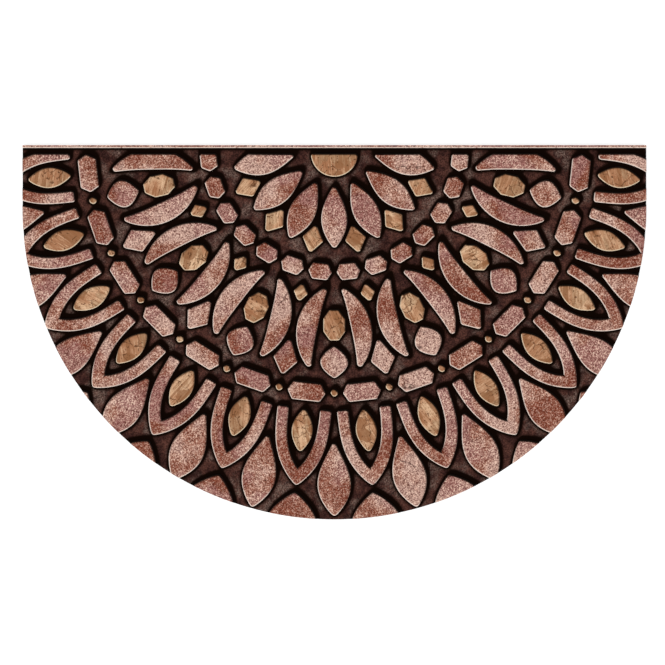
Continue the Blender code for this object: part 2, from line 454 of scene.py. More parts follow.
@dataclass
class Rosette:
    """The drawing of the relief: rings of motifs, a boss in their middle and a strip at the door edge."""

    size: MatSize
    rings: tuple[Ring, ...] = RINGS
    hub_steps: int = 40
    least_pad_area: float = 0.00006
    least_reach: float = 0.005
    overrun: float = 0.065
    grain_sway: float = 1.1
    seed: int = 11

    def ring_outlines(self, ring: Ring) -> list[list[Vector]]:
        """Place every motif of one ring in the mat's plane.

        Args:
            ring: The ring to place.

        Returns:
            One outline for each motif, from one end of the door edge to the other.
        """
        centre = Vector((0.0, self.size.door_edge_y))
        root = Matrix.Rotation(math.radians(ring.lean_deg), 2)
        single = [root @ point + Vector((ring.radius, ring.side)) for point in ring.motif.outline()]
        motifs = [single]
        if ring.paired:
            motifs.append(mirrored(single)[::-1])
        outlines = []
        for place in range(ring.count + 1):
            if place + ring.phase > ring.count:
                continue
            spoke = Matrix.Rotation(-math.pi * (place + ring.phase) / ring.count, 2)
            outlines.extend([centre + spoke @ point for point in motif] for motif in motifs)
        return outlines

    def hub_outline(self) -> list[Vector]:
        """Draw the half-round boss.

        Returns:
            Its outline, flat against the strip's groove.
        """
        angles = [math.pi * step / self.hub_steps for step in range(self.hub_steps + 1)]
        centre = Vector((0.0, self.size.rosette_top_y))
        return [centre - self.size.hub_radius * Vector((math.cos(a), math.sin(a))) for a in angles]

    def strip_outline(self) -> list[Vector]:
        """Draw the strip along the door edge.

        Returns:
            Its outline, which runs past the mat on its three outer sides.
        """
        reach = self.size.length / 2 + self.overrun
        low = self.size.door_edge_y - self.size.strip_width
        high = self.size.door_edge_y + self.overrun
        corner_places = ((-reach, low), (reach, low), (reach, high), (-reach, high))
        return [Vector(place) for place in corner_places]

    def cut_at_top(self, outline: list[Vector]) -> list[list[Vector]]:
        """Cut a motif along the line below the strip's groove.

        Args:
            outline: The whole motif.

        Returns:
            The outlines that are left and large enough to be a pad, counter-clockwise.
        """
        mesh = bmesh.new()
        mesh.faces.new([mesh.verts.new((point.x, point.y, 0.0)) for point in outline])
        cut_off(mesh, Vector((0.0, self.size.rosette_top_y)), Vector((0.0, 1.0)))
        kept = []
        for face in mesh.faces:
            face.normal_update()
            left = [vert.co.xy for vert in face.verts]
            if face.calc_area() > self.least_pad_area:
                kept.append(left if face.normal.z > 0 else left[::-1])
        mesh.free()
        return kept

    def reaches_the_mat(self, outline: list[Vector]) -> bool:
        """Say whether the rim's cut leaves more than a crumb of a pad.

        Args:
            outline: The pad's outline.

        Returns:
            Whether it reaches far enough inside the rim.
        """
        centre, radius = self.size.rim_centre, self.size.rim_radius - self.least_reach
        return any(
            (point - centre).length < radius or (point.y > centre.y and abs(point.x) < radius)
            for point in outline
        )

    def pads(self) -> list[Pad]:
        """Draw every pad.

        Returns:
            The strip and the boss, and then the rings' motifs from the centre outwards.
        """
        draw = random.Random(self.seed)
        drawn = [(self.strip_outline(), Finish.STONE), (self.hub_outline(), Finish.WOOD)]
        for ring in self.rings:
            for outline in self.ring_outlines(ring):
                kept = filter(self.reaches_the_mat, self.cut_at_top(outline))
                drawn.extend((part, ring.finish) for part in kept)
        return [
            Pad(outline, finish, draw.random(), draw.uniform(-self.grain_sway, self.grain_sway))
            for outline, finish in drawn
        ]


# The print's painted shade on the groove floor


@dataclass
class GrooveShade:
    """How dark the print's painted shade is beside the pads: a painted shadow cast away from the painted
    light, and a painted dark halo round each pad.
    """

    size: MatSize
    pads: list[Pad]
    pitch: float = 0.00075
    margin: float = 0.015
    throw: float = 0.0058
    throw_steps: int = 12
    throw_blur: float = 0.0019
    # The painted halo: a ring of shade that hugs each pad, shifted away from the painted light
    halo_blur: float = 0.0036
    halo_gain: float = 2.2
    halo_shift: float = 0.0012
    blur_reach: float = 3.0
    # Just over one place, so that every place that is read has a next one
    grid_end: float = 1.001
    grid: np.ndarray = field(init=False)

    def __post_init__(self) -> None:
        """Work out the shade over the whole mat."""
        self.grid = self.shade()

    def axes(self) -> tuple[np.ndarray, np.ndarray]:
        """Give the grid's places along X and along Y."""
        half_x, half_y = self.size.length / 2 + self.margin, self.size.depth / 2 + self.margin
        return np.arange(-half_x, half_x, self.pitch), np.arange(-half_y, half_y, self.pitch)

    def cover(self) -> np.ndarray:
        """Mark the grid's places that lie under a pad.

        Returns:
            An array of 0 and 1, a row for each place along Y.
        """
        xs, ys = self.axes()
        covered = np.zeros((len(ys), len(xs)), bool)
        for pad in self.pads:
            points = np.array([point[:] for point in pad.outline])
            (left, low), (right, high) = points.min(0), points.max(0)
            columns = slice(*np.searchsorted(xs, (left, right)))
            rows = slice(*np.searchsorted(ys, (low, high)))
            inside = np.zeros((len(ys[rows]), len(xs[columns])), bool)
            for (x0, y0), (x1, y1) in zip(points, np.roll(points, -1, axis=0)):
                if y0 == y1:
                    continue
                crossed = (ys[rows] < y0) != (ys[rows] < y1)
                at = x0 + (ys[rows] - y0) / (y1 - y0) * (x1 - x0)
                inside ^= crossed[:, None] & (xs[columns][None, :] < at[:, None])
            covered[rows, columns] |= inside
        return covered.astype(float)

    def blurred(self, values: np.ndarray, width: float) -> np.ndarray:
        """Blur an array by a bell curve along both axes.

        Args:
            values: The array.
            width: The bell curve's width in metres.

        Returns:
            The blurred array.
        """
        reach = math.ceil(self.blur_reach * width / self.pitch)
        offsets = np.arange(-reach, reach + 1)
        weights = np.exp(-0.5 * (offsets * self.pitch / width) ** 2)
        weights /= weights.sum()
        for axis in (0, 1):
            values = sum(
                weight * np.roll(values, offset, axis=axis) for weight, offset in zip(weights, offsets)
            )
        return values

    def thrown(self, values: np.ndarray, reach: float) -> np.ndarray:
        """Move an array that far away from the painted light."""
        steps = (round(-LIT_FROM.y * reach / self.pitch), round(-LIT_FROM.x * reach / self.pitch))
        return np.roll(values, steps, axis=(0, 1))

    def shade(self) -> np.ndarray:
        """Join the painted cast shadow and the painted halo.

        Returns:
            An array from 0, open ground, to 1, full painted shade.
        """
        cover = self.cover()
        cast = cover.copy()
        for step in range(1, self.throw_steps + 1):
            cast = np.maximum(cast, self.thrown(cover, self.throw * step / self.throw_steps))
        halo = self.blurred(self.thrown(cover, self.halo_shift), self.halo_blur)
        halo = np.clip(self.halo_gain * halo, 0.0, 1.0)
        return 1.0 - (1.0 - self.blurred(cast, self.throw_blur)) * (1.0 - halo)

    def at(self, points: np.ndarray) -> np.ndarray:
        """Read the shade between the grid's places.

        Args:
            points: Places in the mat's plane, one in each row.

        Returns:
            The shade at each.
        """
        xs, ys = self.axes()
        across = np.clip((points[:, 0] - xs[0]) / self.pitch, 0, len(xs) - self.grid_end)
        up = np.clip((points[:, 1] - ys[0]) / self.pitch, 0, len(ys) - self.grid_end)
        column, row = across.astype(int), up.astype(int)
        part_x, part_y = across - column, up - row
        low = self.grid[row, column] * (1 - part_x) + self.grid[row, column + 1] * part_x
        high = self.grid[row + 1, column] * (1 - part_x) + self.grid[row + 1, column + 1] * part_x
        return low * (1 - part_y) + high * part_y


# Node trees for the finishes


@dataclass(frozen=True)
class Clouds:
    """Cloudy noise: its cells to the metre, its finer layers, their strength, and its scale along Y."""

    scale: float
    detail: float = 2.0
    roughness: float = 0.5
    along: float = 1.0


@dataclass(frozen=True)
class Fade:
    """A smooth step from 0 at low to top at high, which may be the lower of the two."""

    low: float
    high: float
    top: float = 1.0


@dataclass(frozen=True)
class Patches:
    """Patches, where noise passes through a fade."""

    clouds: Clouds
    fade: Fade


@dataclass(frozen=True)
class Tint(Patches):
    """Patches of one colour."""

    colour: Colour


@dataclass(frozen=True)
class Fray:
    """A shake of the coordinates by noise of that scale, up to about reach metres along each axis."""

    scale: float
    reach: Triple


@dataclass(frozen=True)
class Spots:
    """Spots in the middle of some irregular cells."""

    scale: float
    chosen: Fade
    reach: Fade


@dataclass(frozen=True)
class Cracks:
    """Hair cracks along the borders of irregular cells, in some patches alone."""

    scale: float
    width: Fade
    where: Patches


class Graph:
    """A new material's node tree, with a short call for each kind of node that the finishes share."""

    def __init__(self, name: str, roughness: float, specular: float, sheen: float = 0.0) -> None:
        """Start a material.

        Args:
            name: The material's name.
            roughness: How dull its surface is, from 0 to 1.
            specular: Its specular level.
            sheen: How much its fibres catch light at a slant.
        """
        self.material = bpy.data.materials.new(name)
        self.material.use_nodes = True
        self.tree = self.material.node_tree
        self.shader = self.tree.nodes["Principled BSDF"]
        surface = {"Roughness": roughness, "Specular IOR Level": specular}
        fibres = {"Sheen Weight": sheen, "Sheen Roughness": SHEEN_ROUGHNESS}
        self.feed(self.shader, surface | fibres)
        self.place = self.add("TexCoord").outputs["Object"]

    def feed(self, node: bpy.types.Node, feeds: Feeds) -> None:
        """Link a node's sockets to other nodes' outputs, or set them to plain values.

        Args:
            node: The node that is fed.
            feeds: Its sockets' names or numbers, with what each gets.
        """
        for name, value in feeds.items():
            if isinstance(value, Socket):
                self.tree.links.new(value, node.inputs[name])
            else:
                node.inputs[name].default_value = value

    def add(self, kind: str, feeds: Feeds | None = None, **settings: str) -> bpy.types.Node:
        """Add a node.

        Args:
            kind: Its type, without the word that all types start with.
            feeds: What its sockets get.
            **settings: Its own properties, which are set first.

        Returns:
            The node.
        """
        node = self.tree.nodes.new(f"ShaderNode{kind}")
        for name, value in settings.items():
            setattr(node, name, value)
        self.feed(node, feeds or {})
        return node

    def attribute(self, name: str) -> Socket:
        """Read one of the mesh's own numbers."""
        return self.add("Attribute", attribute_name=name).outputs["Fac"]

    def moved(self, place: Socket, by: object) -> Socket:
        """Add two vectors."""
        return self.add("VectorMath", {0: place, 1: by}, operation="ADD").outputs[0]

    def stretched(self, place: Socket, factors: Triple) -> Socket:
        """Scale a vector along each axis."""
        return self.add("VectorMath", {0: place, 1: factors}, operation="MULTIPLY").outputs[0]

    def noise(self, place: Socket, clouds: Clouds, output: str = "Fac") -> Socket:
        """Give cloudy noise.

        Args:
            place: The coordinates that it reads.
            clouds: Its kind.
            output: Fac for one number, Color for three.

        Returns:
            The noise, from 0 to 1.
        """
        if clouds.along != 1.0:
            place = self.stretched(place, (1.0, clouds.along, 1.0))
        layers = {"Detail": clouds.detail, "Roughness": clouds.roughness}
        return self.add("TexNoise", {"Vector": place, "Scale": clouds.scale} | layers).outputs[output]

    def frayed(self, place: Socket, fray: Fray) -> Socket:
        """Shake coordinates, so that a pattern on them has ragged borders."""
        shake = self.noise(place, Clouds(fray.scale), "Color")
        return self.moved(place, self.stretched(shake, fray.reach))

    def cells(self, place: Socket, scale: float, feature: str = "F1") -> bpy.types.Node:
        """Add a pattern of irregular cells, as many to the metre as scale says."""
        return self.add("TexVoronoi", {"Vector": place, "Scale": scale}, feature=feature)

    def math(self, operation: str, first: object, second: object) -> Socket:
        """Work out one number from two."""
        return self.add("Math", {0: first, 1: second}, operation=operation).outputs[0]

    def product(self, first: object, second: object) -> Socket:
        """Multiply two numbers."""
        return self.math("MULTIPLY", first, second)

    def share(self, value: object, fade: Fade) -> Socket:
        """Turn a number into a smooth share."""
        feeds = {"Value": value, "From Min": fade.low, "From Max": fade.high, "To Max": fade.top}
        return self.add("MapRange", feeds, interpolation_type="SMOOTHSTEP").outputs["Result"]

    def mix(self, share: object, first: object, second: object, blend: str = "MIX") -> Socket:
        """Blend two colours, by the share of the second."""
        feeds = {MIX_SHARE: share, MIX_FIRST: first, MIX_SECOND: second}
        return self.add("Mix", feeds, data_type="RGBA", blend_type=blend).outputs[MIX_RESULT]

    def patches(self, place: Socket, patches: Patches) -> Socket:
        """Draw patches, as their share of the print."""
        return self.share(self.noise(place, patches.clouds), patches.fade)

    def tinted(self, place: Socket, colour: object, *tints: Tint) -> Socket:
        """Lay tints over a colour.

        Args:
            place: The coordinates that they read.
            colour: What they cover.
            *tints: The tints, the lowest first.

        Returns:
            The tinted colour.
        """
        for tint in tints:
            colour = self.mix(self.patches(place, tint), colour, tint.colour)
        return colour

    def spots(self, place: Socket, spots: Spots) -> Socket:
        """Draw spots.

        Args:
            place: The coordinates that they read.
            spots: Their kind.

        Returns:
            Their share of the print.
        """
        cells = self.cells(place, spots.scale)
        some = self.share(cells.outputs["Color"], spots.chosen)
        return self.product(some, self.share(cells.outputs["Distance"], spots.reach))

    def cracks(self, place: Socket, ragged: Socket, cracks: Cracks) -> Socket:
        """Draw cracks along cells on the ragged coordinates, as their share of the print."""
        border = self.cells(ragged, cracks.scale, "DISTANCE_TO_EDGE").outputs["Distance"]
        return self.product(self.patches(place, cracks.where), self.share(border, cracks.width))

    def ramp(self, value: object, positions: tuple[float, ...], *colours: Colour) -> Socket:
        """Turn a number into a colour.

        Args:
            value: The number.
            positions: Where each colour is reached, from low to high.
            *colours: One colour for each position.

        Returns:
            The colour.
        """
        node = self.add("ValToRGB", {"Fac": value})
        elements = node.color_ramp.elements
        while len(elements) < len(positions):
            elements.new(0.5)
        for element, position, colour in zip(elements, positions, colours):
            element.position = position
            element.color = colour
        return node.outputs["Color"]

    def end(self, colour: Socket, height: Socket, depth: float, strength: float) -> bpy.types.Material:
        """Join the colour and a bump to the shader.

        Args:
            colour: The finished colour.
            height: The bump's height, from 0 to 1.
            depth: What 1 stands for, in metres.
            strength: How strongly it shows.

        Returns:
            The material.
        """
        bump = self.add("Bump", {"Strength": strength, "Distance": depth, "Height": height})
        self.feed(self.shader, {"Base Color": colour, "Normal": bump.outputs["Normal"]})
        return self.material


@dataclass(frozen=True)
class Flock:
    """The short, dull fibres that carry the print."""

    roughness: float = 0.95
    specular: float = 0.01
    sheen: float = 0.02
    fibres: Clouds = Clouds(1900.0, roughness=0.6)
    fibre_depth: float = 0.0002
    fibre_strength: float = 0.35

    def graph(self, name: str) -> Graph:
        """Start a material of printed flock."""
        return Graph(name, self.roughness, self.specular, self.sheen)

    def end(self, graph: Graph, colour: Socket) -> bpy.types.Material:
        """Lay a colour on the fibres and finish the material."""
        fibres = graph.noise(graph.place, self.fibres)
        return graph.end(colour, fibres, self.fibre_depth, self.fibre_strength)


@dataclass(frozen=True)
class PaintedRim:
    """The print's painted highlight and painted shade round a pad's upper face, and painted shade at its
    foot.
    """

    # The painted highlight's colour
    light: Colour = printed(252, 231, 217)
    # The painted shade's colour, on the edges turned from the painted light and at the foot
    dark: Colour = printed(13, 3, 0)
    unbroken: Patches = Patches(Clouds(260.0), Fade(0.20, 0.46))
    lit_side: Fade = Fade(0.0, 0.38)
    lit_depth: Fade = Fade(0.51, 0.82)
    dark_side: float = 0.35
    dark_depth: Fade = Fade(0.03, 0.80)
    # Painted shade at the foot of the wall, darker towards the groove floor
    foot: Fade = Fade(0.0068, 0.0052)

    def over(self, graph: Graph, colour: Socket) -> Socket:
        """Paint the painted highlight and painted shade of the edges over a pad's own colour.

        Args:
            graph: The material that is being made.
            colour: The pad's own colour.

        Returns:
            The colour with its painted highlight and shade.
        """
        depth = graph.attribute("edge_depth")
        facing = graph.attribute("edge_facing")
        unbroken = graph.patches(graph.place, self.unbroken)
        # Painted highlight on the edges that face the painted light
        lit = graph.product(graph.share(facing, self.lit_side), unbroken)
        lit = graph.product(lit, graph.share(depth, self.lit_depth))
        colour = graph.mix(lit, colour, self.light)
        # Painted shade on the edges turned away from the painted light
        turned = graph.product(depth, graph.math("SUBTRACT", self.dark_side, facing))
        colour = graph.mix(graph.share(turned, self.dark_depth), colour, self.dark)
        # Painted shade darker towards the wall's foot
        height = graph.add("SeparateXYZ", {"Vector": graph.place}).outputs["Z"]
        return graph.mix(graph.share(height, self.foot), colour, self.dark)


@dataclass(frozen=True)
class StonePrint:
    """Pinkish-brown sandstone of coarse grains, redder, greyer and more mauve by turns."""

    flock: Flock = Flock()
    rim: PaintedRim = PaintedRim()
    red: Colour = printed(126, 64, 46)
    middle: Colour = printed(153, 100, 82)
    grey: Colour = printed(184, 147, 134)
    dark_grain: Colour = printed(84, 40, 30)
    light_grain: Colour = printed(232, 196, 176)
    pit: Colour = printed(34, 15, 12)
    drift: Clouds = Clouds(13.0, detail=4.0, roughness=0.62)
    drift_stops: Triple = (0.43, 0.50, 0.58)
    mauve: Tint = Tint(Clouds(17.0), Fade(0.50, 0.60, 0.75), printed(150, 102, 98))
    mauve_offset: Triple = (3.0, 1.0, 2.0)
    grain_fray: Fray = Fray(1200.0, (0.0006, 0.0006, 0.0006))
    grain_scale: float = 940.0
    grain_contrast: float = 0.75
    grain_clouds: Clouds = Clouds(600.0, roughness=0.6)
    dark_grains: Fade = Fade(0.52, 0.14, 0.95)
    light_grains: Fade = Fade(0.48, 0.86)
    dull_where_red: Fade = Fade(0.54, 0.42, 0.50)
    mottling: Clouds = Clouds(210.0)
    mottling_share: float = 0.35
    fray: Fray = Fray(160.0, (0.006, 0.006, 0.006))
    pits: Spots = Spots(42.0, chosen=Fade(0.62, 0.66), reach=Fade(0.060, 0.030))
    cracked: Patches = Patches(Clouds(16.0), Fade(0.58, 0.66, 0.60))
    cracks: Cracks = Cracks(19.0, width=Fade(0.012, 0.003), where=cracked)

    def material(self) -> bpy.types.Material:
        """Make the material.

        Returns:
            The print on its flock.
        """
        graph = self.flock.graph("stone_print")
        place = graph.place
        drift = graph.noise(place, self.drift)
        colour = graph.ramp(drift, self.drift_stops, self.red, self.middle, self.grey)
        colour = graph.tinted(graph.moved(place, self.mauve_offset), colour, self.mauve)
        grains = graph.cells(graph.frayed(place, self.grain_fray), self.grain_scale).outputs["Color"]
        value = graph.math("ADD", graph.product(grains, self.grain_contrast), -self.grain_contrast / 2)
        value = graph.math("ADD", value, graph.noise(place, self.grain_clouds))
        colour = graph.mix(graph.share(value, self.dark_grains), colour, self.dark_grain)
        clear = graph.math("SUBTRACT", 1.0, graph.share(drift, self.dull_where_red))
        light = graph.product(graph.share(value, self.light_grains), clear)
        colour = graph.mix(light, colour, self.light_grain)
        colour = graph.mix(self.mottling_share, colour, graph.noise(place, self.mottling), "OVERLAY")
        ragged = graph.frayed(place, self.fray)
        colour = graph.mix(graph.spots(ragged, self.pits), colour, self.pit)
        colour = graph.mix(graph.cracks(place, ragged, self.cracks), colour, self.pit)
        return self.flock.end(graph, self.rim.over(graph, colour))


@dataclass(frozen=True)
class WoodPrint:
    """Tan, weathered wood with fine streaks, stains and hair cracks, cut differently on each pad."""

    flock: Flock = Flock()
    # A yellower painted highlight on the wood pads' edges
    rim: PaintedRim = PaintedRim(light=printed(246, 222, 190))
    pale: Colour = printed(217, 179, 144)
    tan: Colour = printed(196, 150, 116)
    brown: Colour = printed(163, 112, 80)
    line: Colour = printed(92, 58, 36)
    stain: Colour = printed(138, 92, 60)
    seed_across: float = 3.1
    seed_up: float = 1.7
    zones: Clouds = Clouds(48.0)
    zone_stops: Triple = (0.36, 0.48, 0.60)
    browned: Fade = Fade(0.10, 0.95, 0.80)
    aged: Tint = Tint(Clouds(75.0, detail=1.0, along=0.5), Fade(0.56, 0.60, 0.55), printed(152, 122, 92))
    streaks: Clouds = Clouds(620.0, roughness=0.6, along=0.09)
    dark_streaks: Tint = Tint(streaks, Fade(0.52, 0.32, 0.66), stain)
    pale_streaks: Tint = Tint(streaks, Fade(0.52, 0.70, 0.60), pale)
    grit: Tint = Tint(Clouds(760.0, detail=1.0), Fade(0.50, 0.27, 0.66), stain)
    bands: Tint = Tint(Clouds(110.0, detail=1.0, along=0.10), Fade(0.57, 0.61, 0.72), stain)
    fray: Fray = Fray(150.0, (0.008, 0.008, 0.0))
    stains: Spots = Spots(58.0, chosen=Fade(0.66, 0.68, 0.74), reach=Fade(0.62, 0.50))
    cracked: Patches = Patches(Clouds(60.0, detail=1.0), Fade(0.47, 0.55, 0.9))
    cracks: Cracks = Cracks(70.0, width=Fade(0.038, 0.012), where=cracked)
    pores: Patches = Patches(Clouds(450.0, detail=1.0, along=0.7), Fade(0.61, 0.68, 0.90))
    pore_clusters: Patches = Patches(Clouds(130.0, detail=1.0), Fade(0.42, 0.54))

    def cut_place(self, graph: Graph, seed: Socket) -> Socket:
        """Turn the coordinates along each pad's own grain, and move them to its own part of the wood.

        Args:
            graph: The material that is being made.
            seed: The pad's own number, from 0 to 1.

        Returns:
            The coordinates, with the grain along Y.
        """
        turn = {"Vector": graph.place, "Angle": graph.attribute("pad_grain")}
        turned = graph.add("VectorRotate", turn, rotation_type="Z_AXIS").outputs["Vector"]
        apart = {"X": graph.product(seed, self.seed_across), "Z": graph.product(seed, self.seed_up)}
        return graph.moved(turned, graph.add("CombineXYZ", apart).outputs["Vector"])

    def material(self) -> bpy.types.Material:
        """Make the material.

        Returns:
            The print on its flock.
        """
        graph = self.flock.graph("wood_print")
        seed = graph.attribute("pad_seed")
        place = self.cut_place(graph, seed)
        zone = graph.noise(place, self.zones)
        colour = graph.ramp(zone, self.zone_stops, self.brown, self.tan, self.pale)
        colour = graph.mix(graph.share(seed, self.browned), colour, self.brown)
        grain = (self.aged, self.dark_streaks, self.pale_streaks, self.grit, self.bands)
        colour = graph.tinted(place, colour, *grain)
        ragged = graph.frayed(place, self.fray)
        colour = graph.mix(graph.spots(ragged, self.stains), colour, self.stain)
        colour = graph.mix(graph.cracks(place, ragged, self.cracks), colour, self.line)
        pores = graph.product(graph.patches(place, self.pore_clusters), graph.patches(place, self.pores))
        return self.flock.end(graph, self.rim.over(graph, graph.mix(pores, colour, self.line)))


@dataclass(frozen=True)
class GroundPrint:
    """Dark, scuffed, leathery brown on the groove floor, under a painted shade that is darkest beside the
    pads.
    """

    flock: Flock = Flock()
    deep: Colour = printed(48, 27, 24)
    scuff: Colour = printed(112, 92, 83)
    # The colour of the painted shade beside the pads
    painted_shade: Colour = printed(12, 3, 0)
    hide: Tint = Tint(Clouds(85.0, detail=4.0, roughness=0.65), Fade(0.38, 0.62), printed(74, 45, 38))
    worn: Patches = Patches(Clouds(34.0, detail=3.0, roughness=0.6), Fade(0.46, 0.66))
    scuffs: Clouds = Clouds(720.0, roughness=0.6)
    scuffed: Fade = Fade(0.34, 0.66)
    grit: Patches = Patches(Clouds(900.0, detail=0.0), Fade(0.25, 0.75))
    grit_share: float = 0.5
    shade_roughness: float = 0.16
    shaded: Fade = Fade(0.10, 0.72)

    def material(self) -> bpy.types.Material:
        """Make the material.

        Returns:
            The print on its flock.
        """
        graph = self.flock.graph("ground_print")
        place = graph.place
        colour = graph.tinted(place, self.deep, self.hide)
        scuffs = graph.noise(place, self.scuffs)
        rubbed = graph.product(graph.patches(place, self.worn), graph.share(scuffs, self.scuffed))
        colour = graph.mix(rubbed, colour, self.scuff)
        colour = graph.mix(self.grit_share, colour, graph.patches(place, self.grit), "OVERLAY")
        # Painted shade from the body's shade numbers, its border roughened by the scuffs
        rough = graph.product(graph.math("SUBTRACT", scuffs, 0.5), self.shade_roughness)
        shade = graph.math("ADD", graph.attribute("shade"), rough)
        return self.flock.end(graph, graph.mix(graph.share(shade, self.shaded), colour, self.painted_shade))


@dataclass(frozen=True)
class CrumbRubber:
    """Bonded rubber granules, as on the cut edge and the underside, with painted shade in the gaps between
    them.
    """

    roughness: float = 0.85
    specular: float = 0.3
    dark: Colour = printed(24, 21, 20)
    light: Colour = printed(62, 54, 50)
    # Painted shade in the dented gaps between the granules
    gap_shade: Colour = printed(9, 7, 7)
    fray: Fray = Fray(900.0, (0.0008, 0.0008, 0.0008))
    crumb_scale: float = 620.0
    crumb_stops: tuple[float, float] = (0.15, 0.85)
    gaps: Fade = Fade(0.30, 0.75)
    bump_depth: float = 0.0004
    bump_strength: float = 0.8

    def material(self) -> bpy.types.Material:
        """Make the material.

        Returns:
            The bare rubber.
        """
        graph = Graph("crumb_rubber", self.roughness, self.specular)
        crumbs = graph.cells(graph.frayed(graph.place, self.fray), self.crumb_scale)
        colour = graph.ramp(crumbs.outputs["Color"], self.crumb_stops, self.dark, self.light)
        # The gaps are dented by the bump and darkened as painted shade
        gaps = graph.share(crumbs.outputs["Distance"], self.gaps)
        height = graph.math("SUBTRACT", 1.0, gaps)
        return graph.end(graph.mix(gaps, colour, self.gap_shade), height, self.bump_depth, self.bump_strength)


# The pieces


def added(name: str, data: bpy.types.ID) -> bpy.types.Object:
    """Add an object to the scene.

    Args:
        name: Its name.
        data: Its mesh, lamp or camera.

    Returns:
        The object.
    """
    obj = bpy.data.objects.new(name, data)
    bpy.context.scene.collection.objects.link(obj)
    return obj


def object_from(
    name: str, mesh: bmesh.types.BMesh, materials: list[bpy.types.Material]
) -> bpy.types.Object:
    """Turn a finished bmesh into an object in the scene.

    Args:
        name: The piece's name.
        mesh: The bmesh, which is freed.
        materials: Its materials, in the order of its faces' numbers.

    Returns:
        The object, at the origin.
    """
    data = bpy.data.meshes.new(name)
    mesh.to_mesh(data)
    mesh.free()
    for material in materials:
        data.materials.append(material)
    return added(name, data)


@dataclass
class RubberBody:
    """The mat below its relief: a fine groove floor, the upright edge and the underside."""

    size: MatSize
    columns: int = 440
    rows: int = 200
    waviness: float = 0.00008
    wave_scale: float = 60.0

    def placed(self, place: Vector) -> Vector:
        """Move a point of a square on to the mat's groove floor.

        Args:
            place: The point, from -1 to 1 each way.

        Returns:
            Its place on the mat.
        """
        angle = math.pi / 2 * place.x
        low = self.size.rim_centre.y - self.size.rim_radius * math.cos(angle)
        across = self.size.rim_radius * math.sin(angle)
        along = low + (self.size.door_edge_y - low) * (place.y + 1.0) / 2
        wave = noise.noise(Vector((across, along, 0.0)) * self.wave_scale) * self.waviness
        return Vector((across, along, self.size.groove_floor_z + wave))

    def edge_below(self, mesh: bmesh.types.BMesh, height: float) -> list[bmesh.types.BMVert]:
        """Grow the open edge downwards.

        Args:
            mesh: The body so far.
            height: Where the edge ends.

        Returns:
            The edge's new points.
        """
        rim = [edge for edge in mesh.edges if edge.is_boundary]
        grown = bmesh.ops.extrude_edge_only(mesh, edges=rim)["geom"]
        fallen = [item for item in grown if isinstance(item, bmesh.types.BMVert)]
        for vert in fallen:
            vert.co.z = height
        return fallen

    def build(self, shade: GrooveShade) -> bpy.types.Object:
        """Model the body and dress it.

        Args:
            shade: The painted shade beside the pads.

        Returns:
            The body.
        """
        mesh = bmesh.new()
        bmesh.ops.create_grid(mesh, x_segments=self.columns, y_segments=self.rows, size=1.0)
        for vert in mesh.verts:
            vert.co = self.placed(vert.co)
        for face in mesh.faces:
            face.smooth = True
        floor_faces = len(mesh.faces)
        self.edge_below(mesh, self.size.chamfer)
        inner = self.edge_below(mesh, 0.0)
        broken = 2 * self.size.chamfer
        draw_in = (1 - broken / self.size.length, 1 - broken / self.size.depth, 1.0)
        bmesh.ops.scale(mesh, vec=draw_in, verts=inner)
        bmesh.ops.holes_fill(mesh, edges=[edge for edge in mesh.edges if edge.is_boundary], sides=0)
        mesh.faces.ensure_lookup_table()
        for face in mesh.faces[floor_faces:]:
            face.material_index = 1
            face.smooth = False
        bmesh.ops.recalc_face_normals(mesh, faces=mesh.faces[:])
        obj = object_from("rubber_body", mesh, [GroundPrint().material(), CrumbRubber().material()])
        points = np.array([vert.co[:] for vert in obj.data.vertices])
        painted = obj.data.attributes.new("shade", "FLOAT", "POINT")
        painted.data.foreach_set("value", shade.at(points).astype(np.float32))
        return obj


